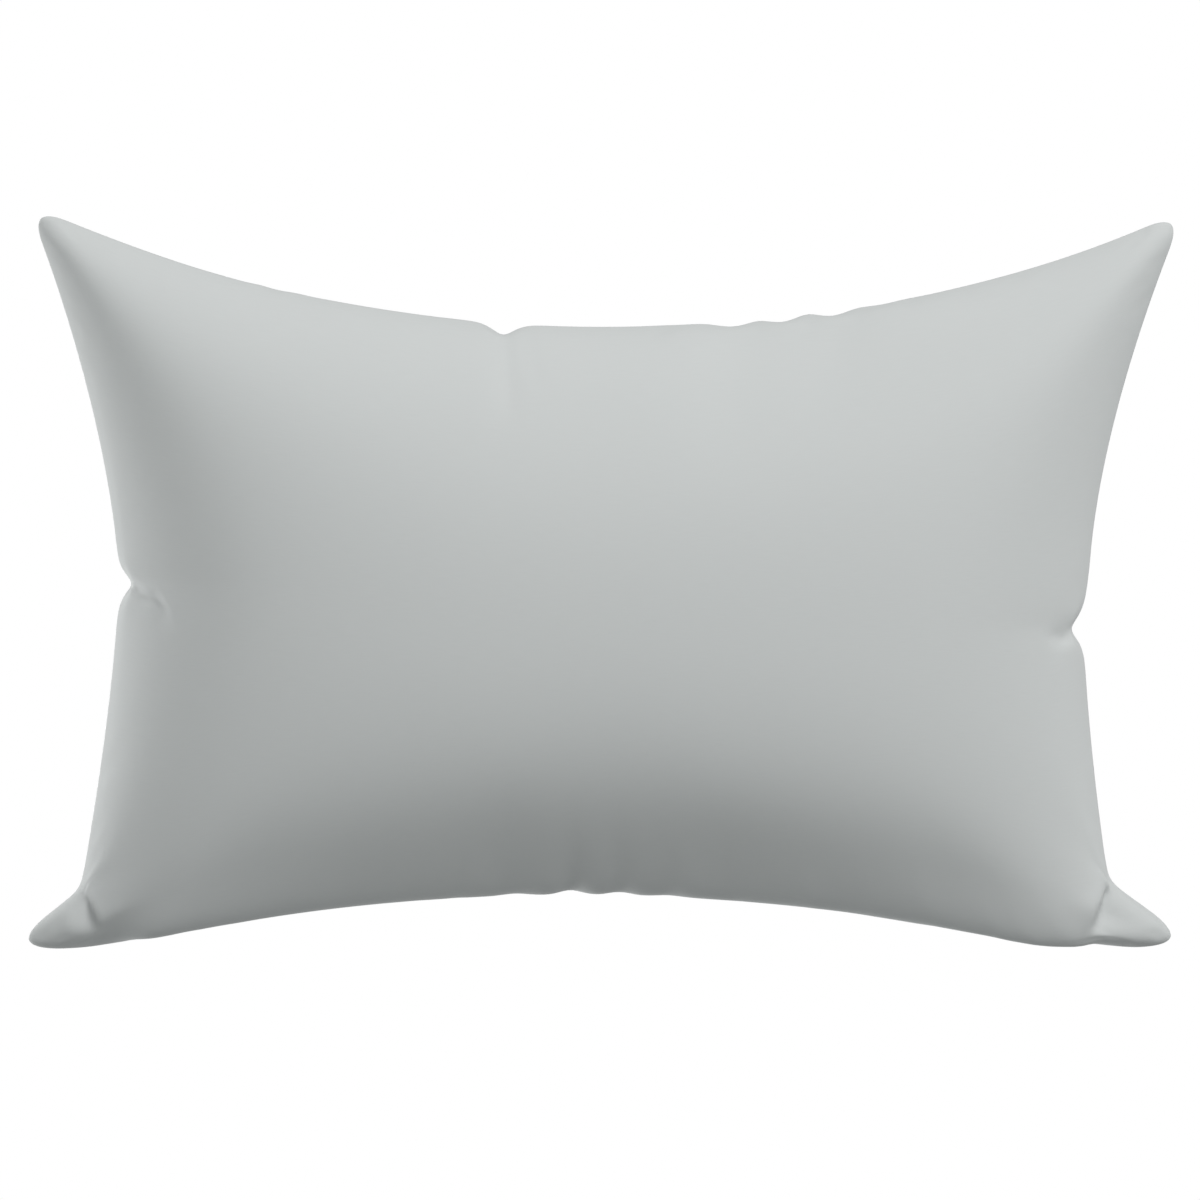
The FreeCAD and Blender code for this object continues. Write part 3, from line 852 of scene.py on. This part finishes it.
def thread_material(name, colour):
    """Twisted thread: slanting ridges along its length, and a tone that drifts."""
    material, tree, shader = new_material(name)
    shader.inputs["Sheen Weight"].default_value = 0.3
    place = tree.nodes.new("ShaderNodeUVMap")
    place.uv_map = "cloth"
    split = tree.nodes.new("ShaderNodeSeparateXYZ")
    tree.links.new(place.outputs["UV"], split.inputs[0])
    slant = maths(tree, "ADD", *(maths(tree, "MULTIPLY", split.outputs[axis], TWIST) for axis in ("X", "Y")))
    ridge = maths(tree, "ABSOLUTE", maths(tree, "SINE", slant))
    ramp = tree.nodes.new("ShaderNodeMix")
    ramp.data_type = "RGBA"
    ramp.inputs["A"].default_value = (*[0.86 * c for c in colour], 1)
    ramp.inputs["B"].default_value = (*colour, 1)
    tree.links.new(noise(tree, place.outputs["UV"], 120.0), ramp.inputs["Factor"])
    tree.links.new(ramp.outputs["Result"], shader.inputs["Base Color"])
    tree.links.new(maths(tree, "ADD", 0.5, maths(tree, "MULTIPLY", ridge, 0.15)), shader.inputs["Roughness"])
    bumped(tree, ridge, 0.00006)
    return material


grey_thread = thread_material("grey_thread", (0.66, 0.68, 0.675))
white_thread = thread_material("white_thread", (0.82, 0.82, 0.80))
THREAD_RADIUS = 0.2
STITCH = 3.0


def stitch_line(plan_line, at, rise, side):
    """A lockstitch's upper thread: |sin(pi s / stitch)| high, sunk into the cloth between stitches."""
    height = rise + 0.3 * np.sqrt(np.abs(np.sin(math.pi * at / STITCH))) - 0.15
    return np.concatenate([plan_line, (SEAM + side * height)[:, None]], 1)


def lockstitch(name, plan_line, at, rise):
    """A lockstitch's two threads, on cloths whose outer faces are rise from the seam's plane."""
    threads = []
    for side in (FRONT, BACK):
        path = stitch_line(plan_line, at, rise + THREAD_RADIUS, side)
        threads.append(tube(path, THREAD_RADIUS))
    return joined(name, threads)


SEAM_INSET = 2.6
line, _, run = seam_path(SEAM_INSET, STITCH / 4)
fitted(lockstitch("seam_lockstitch", line, run, 0.10 + CLOTH), grey_thread, "cover_seam_thread")

WRAP = 2.4                # the overlock's pitch
OVERLOCK_INSET = 8.6
OVERLOCK_RADIUS = 0.16
line, into, run = seam_path(OVERLOCK_INSET, WRAP / 10)
turn = 2 * math.pi * run / WRAP
wrapped = line + into * (1.9 * np.cos(turn))[:, None]
overlock = np.concatenate([wrapped, (SEAM + 1.15 * np.sin(turn))[:, None]], 1)
sideways = np.stack([-into[:, 1], into[:, 0], 0 * run], -1)
wound = joined("overlock", [tube(overlock, OVERLOCK_RADIUS, sideways)])
fitted(wound, grey_thread, "cover_overlock_thread")


# ---- care label ---------------------------------------------------------------------------------
# Blank white satin, sewn to the overlocked edge inside the bottom left of the back cloth.
LABEL_WIDE, LABEL_TALL = 38.0, 19.0
LABEL_LEFT = -285
LABEL_CLOTH = 0.2
LABEL_GRID = (25, 15)
t = np.linspace(0, 1, LABEL_GRID[0])
x = LABEL_LEFT + LABEL_WIDE * t
hang = np.linspace(0, 1, LABEL_GRID[1])
lie = 9.4 - 4.2 * smooth(hang, 0.1, 1.0)
y = bottom_edge(x)[:, None] + lie[None] + 0.35 * np.sin(5 * t)[:, None] * hang[None]
grid = np.stack(np.broadcast_arrays(x[:, None], y, (SEAM - 1.6 - LABEL_TALL * hang)[None]), -1)
uv = np.stack(np.broadcast_arrays(LABEL_WIDE * t[:, None], LABEL_TALL * hang[None]), -1)
satin = cloth_material("label_satin", (0.84, 0.84, 0.82), TWILL_WEAVE, 5000, 0.02, rough=0.42, sheen=0.05)
care = finished_mesh("care_tag", grid.reshape(-1, 3), grid_faces(*LABEL_GRID), uv.reshape(-1, 2) / 1000)
thickened(care, LABEL_CLOTH, divided=False)
fitted(care, satin, "care_label")


# ---- zip: tapes, coil and stitching -------------------------------------------------------------
# A concealed coil zip, sewn behind the lips of the bottom seam. Tapes of woven polyester, a nylon coil.
def on_arc(along, depth, rise):
    """Places along the zip's arc, depth into the pillow from the seam and rise off the seam's plane."""
    along, depth, rise = np.broadcast_arrays(along, depth, rise)
    radius = ARC_RADIUS + depth
    turn = along / ARC_RADIUS
    return np.stack([radius * np.sin(turn), ARC_CENTRE_Y + radius * np.cos(turn), SEAM + rise], -1)


TAPE_HALF, CHAIN_HALF = 224.0, 217.5
TAPE_GRID = (181, 11)
TAPE_CLOTH = 0.3
TAPE_DEPTH = 4.3          # how far behind the seam the tapes stand
TAPE_SPAN = (1.5, 13.9)   # from the seam's plane to a tape's two edges
TAPE_SEWN_AT = (8.2, 11.0)
COIL_PITCH, COIL_RADIUS = 1.5, 0.22
TACK_PITCH, TACK_RADIUS = 0.42, 0.19
tape_cloth = cloth_material("tape_weave", (0.58, 0.60, 0.595), TWILL_WEAVE, 1500, 0.15, rough=0.7, bumpy=0.8)
coil_nylon = thread_material("coil_nylon", (0.66, 0.68, 0.67))
coil_nylon.node_tree.nodes["Principled BSDF"].inputs["Coat Weight"].default_value = 0.4
along = np.linspace(-TAPE_HALF, TAPE_HALF, TAPE_GRID[0])
off = np.linspace(*TAPE_SPAN, TAPE_GRID[1])
for name, side in (("front", FRONT), ("back", BACK)):
    bead = 0.12 * bell(off, 1.9, 0.5) + 0.10 * bell(off, 13.5, 0.5)
    depth = TAPE_DEPTH + 0.04 * np.sin(along / 9)[:, None] - bead[None]
    grid = on_arc(along[:, None], depth, side * off[None])
    uv = np.stack(np.broadcast_arrays(along[:, None], off[None]), -1).reshape(-1, 2) / 1000
    tape = finished_mesh("tape_" + name, grid.reshape(-1, 3), grid_faces(*TAPE_GRID)[:, ::side], uv)
    thickened(tape, TAPE_CLOTH, divided=False)
    fitted(tape, tape_cloth, "zip_tape_" + name)

    s = np.arange(-CHAIN_HALF, CHAIN_HALF, COIL_PITCH / 12)
    turn = 2 * math.pi * s / COIL_PITCH
    helix = on_arc(s, 5.55 + 0.65 * np.cos(turn), side * (2.2 + 0.98 * np.sin(turn)))
    aim = on_arc(s + 1, 5.6, side * 2.2) - on_arc(s, 5.6, side * 2.2)
    coil = joined("coil_" + name, [tube(helix, COIL_RADIUS, aim)])
    fitted(coil, coil_nylon, "zip_coil_" + name)

    s = np.arange(-TAPE_HALF + 1, TAPE_HALF - 1, STITCH / 4)
    sunk = 4.72 + 0.3 * np.sqrt(np.abs(np.sin(math.pi * s / STITCH)))
    threads = [tube(on_arc(s, sunk, side * off_seam), THREAD_RADIUS) for off_seam in TAPE_SEWN_AT]
    fitted(joined("tape_stitches_" + name, threads), grey_thread, "zip_stitching_" + name)

tacks = []
for start in (-226.0, 222.0):
    s = np.linspace(start, start + 4.0, 145)
    turn = 2 * math.pi * (s - start) / TACK_PITCH
    loop = on_arc(s, 2.1 + 1.6 * np.cos(turn), 0.95 * np.sin(turn))
    aim = on_arc(s + 1, 2.1, 0) - on_arc(s, 2.1, 0)
    tacks.append(tube(loop, TACK_RADIUS, aim))
fitted(joined("bar_tacks", tacks), grey_thread, "zip_bar_tacks")


# ---- zip: metal parts ---------------------------------------------------------------------------
# Die-cast slider and pull, a drawn pin and stamped stops, all nickel plated. They keep their shapes.
def smooth_step(tree, value, low, high):
    """A value eased from 0 at low to 1 at high."""
    node = tree.nodes.new("ShaderNodeMapRange")
    node.interpolation_type = "SMOOTHSTEP"
    node.inputs["From Min"].default_value = low
    node.inputs["From Max"].default_value = high
    tree.links.new(value, node.inputs["Value"])
    return node.outputs["Result"]


def plated_material():
    """Nickel: fine brushed scratches, duller patches, and yellower metal where the plating has rubbed."""
    material, tree, shader = new_material("nickel_plate")
    shader.inputs["Metallic"].default_value = 1.0
    place = tree.nodes.new("ShaderNodeTexCoord")
    mapping = tree.nodes.new("ShaderNodeMapping")
    mapping.inputs["Scale"].default_value = (400, 4000, 4000)
    tree.links.new(place.outputs["Object"], mapping.inputs["Vector"])
    patches = noise(tree, place.outputs["Object"], 350.0)
    rubbed = tree.nodes.new("ShaderNodeMix")
    rubbed.data_type = "RGBA"
    rubbed.inputs["A"].default_value = (0.34, 0.335, 0.325, 1)
    rubbed.inputs["B"].default_value = (0.30, 0.27, 0.21, 1)
    bare = smooth_step(tree, patches, 0.52, 0.68)
    tree.links.new(maths(tree, "MULTIPLY", bare, 0.6), rubbed.inputs["Factor"])
    tree.links.new(rubbed.outputs["Result"], shader.inputs["Base Color"])
    dull = maths(tree, "ADD", 0.34, maths(tree, "MULTIPLY", patches, 0.22))
    tree.links.new(dull, shader.inputs["Roughness"])
    bumped(tree, noise(tree, mapping.outputs["Vector"], 1.0), 0.00003, 0.3)
    return material


nickel = plated_material()
for node in ("zip_top_stops", "zip_bottom_stop", "zip_slider_body", "zip_slider_pin", "zip_pull_tab"):
    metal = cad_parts[node].data
    metal.materials.clear()
    metal.materials.append(nickel)


# ---- insert -------------------------------------------------------------------------------------
# A separate pillow of downproof white twill that slips into the cover, its filling gap closed by hand.
INSERT_SCALE = np.array([0.962, 0.938, 0.955])
TICKING = 0.5             # thickness of its cloth


def out_of_ears(grid):
    """The grid drawn back and flattened at its low corners, which don't reach into the cover's ears."""
    grid = grid.copy()
    share = smooth(np.abs(grid[..., 0]), 290, 355) * smooth(-grid[..., 1], 140, 215)
    grid[..., 0] *= 1 - 0.09 * share
    grid[..., 2] *= 1 - 0.35 * share
    return grid


def eased(grid, times):
    """The grid with each inner point moved to the mean of its neighbours, that many times."""
    grid = grid.copy()
    for _ in range(times):
        grid[1:-1, 1:-1] = neighbours(grid)
    return grid


ticking = cloth_material("ticking_twill", (0.80, 0.80, 0.77), TWILL_WEAVE, 1800, 0.08, sheen=0.1)
INSERT_TURNED_IN = [(0.5, 0.05, 0.5), (3.0, 0.08, 3.0), (6.0, 0.08, 6.0)]
insert_uv = cover_uv[::2, ::2] * 0.96
for name, grid, side in (("front", front, FRONT), ("back", back, BACK)):
    inner = out_of_ears(eased(grid, 6)[::2, ::2] * INSERT_SCALE)
    panel = cloth_mesh("insert_" + name, inner, insert_uv, side, INSERT_TURNED_IN, False)
    thickened(panel, TICKING)
    fitted(panel, ticking, f"insert_{name}_panel")

INSERT_INSET = 2.8
insert_rim = out_of_ears(front[::2, ::2] * INSERT_SCALE).reshape(-1, 3)[rim_of(front[::2, ::2]), :2]
sewn = insert_rim + inward_of(insert_rim) * INSERT_INSET
closed = np.concatenate([sewn, sewn[:1]])
run = np.arange(0, length_along(closed)[-1], STITCH / 4)
line = resampled(closed, run)
insert_sewing = lockstitch("insert_lockstitch", line, run, 0.08 + TICKING)
fitted(insert_sewing, white_thread, "insert_seam_thread")

WHIP_HALF, WHIP_PITCH, WHIP_RADIUS = 72.0, 6.0, 0.28
x = np.arange(-WHIP_HALF, WHIP_HALF, WHIP_PITCH / 20)
edge = insert_rim[insert_rim[:, 1] > 120]
edge = edge[np.argsort(edge[:, 0])]
turn = 2 * math.pi * x / WHIP_PITCH
y = np.interp(x, edge[:, 0], edge[:, 1]) - 1.0 + 1.5 * np.cos(turn)
whip = np.stack([x, y, SEAM + 1.7 * np.sin(turn)], -1)
closing = joined("closing_whip", [tube(whip, WHIP_RADIUS, (1, 0, 0))])
fitted(closing, white_thread, "insert_closing_stitches")

TAG_HALF = 18.0
TAG_GRID = (19, 21)
right_rim = insert_rim[insert_rim[:, 0] > 250][:40]
foot_x = float(np.interp(0, right_rim[:, 1], right_rim[:, 0]))
t = np.linspace(0, 1, TAG_GRID[0])
profile = np.array([(-0.6, 0.0), (0.6, 0.1), (1.2, 0.5), (1.4, 1.4), (1.5, 6.0), (1.7, 12.0), (2.0, 20.4)])
profile = resampled(profile, np.linspace(0, length_along(profile)[-1], TAG_GRID[1]))
y = TAG_HALF * (2 * t - 1)
grid = np.stack(np.broadcast_arrays(
    foot_x + profile[None, :, 0] + 0.3 * np.sin(4 * t)[:, None] * profile[None, :, 1] / 20,
    y[:, None], SEAM + profile[None, :, 1],
), -1)
tall = length_along(profile)[-1]
up = tall * np.linspace(0, 1, TAG_GRID[1])
uv = np.stack(np.broadcast_arrays(2 * TAG_HALF * t[:, None], up[None]), -1)
tag = finished_mesh("insert_tag", grid.reshape(-1, 3), grid_faces(*TAG_GRID), uv.reshape(-1, 2) / 1000)
thickened(tag, LABEL_CLOTH, divided=False)
fitted(tag, satin, "insert_label")


# ---- fibre fill ---------------------------------------------------------------------------------
# Crimped polyester staple, blown in. It fills the insert as one soft mass.
FILL_SCALE = np.array([0.925, 0.885, 0.935])


def closed_pair(name, upper, lower):
    """One closed surface from a front and a back grid that share their rim."""
    across, down = upper.shape[:2]
    top_points, low_points = upper.reshape(-1, 3).copy(), lower.reshape(-1, 3).copy()
    rim = rim_of(upper)
    number = np.arange(across * down)
    free = np.setdiff1d(number, rim)
    lower_number = number.copy()
    lower_number[free] = across * down + np.arange(len(free))
    top_points[:, 2] = SEAM + top_points[:, 2]
    low_points[:, 2] = SEAM - low_points[:, 2]
    top_points[rim, 2] = SEAM
    faces = grid_faces(across, down)
    both = np.concatenate([faces, lower_number[faces][:, ::-1]])
    points = np.concatenate([top_points, low_points[free]])
    return finished_mesh(name, points, both, points[:, :2] / 1000)


fibre = cloth_material(
    "fibre_polyester", (0.87, 0.87, 0.86), PLAIN_WEAVE, 300, 0.3, rough=0.95, sheen=0.5, tone=0.1
)
fibre_tree = fibre.node_tree
strands = noise(fibre_tree, fibre_tree.nodes.new("ShaderNodeTexCoord").outputs["Object"], 160.0, 8.0, 2.5)
fibre_bump = fibre_tree.nodes["Bump"]
fibre_bump.inputs["Distance"].default_value = 0.002
fibre_tree.links.new(strands, fibre_bump.inputs["Height"])
upper, lower = (out_of_ears(eased(grid, 12)[::2, ::2] * FILL_SCALE) for grid in (front, back))
stuffing = closed_pair("stuffing", upper, lower)
finer = stuffing.modifiers.new("finer", "SUBSURF")
finer.levels = finer.render_levels = 1
fitted(stuffing, fibre, "fibre_fill")
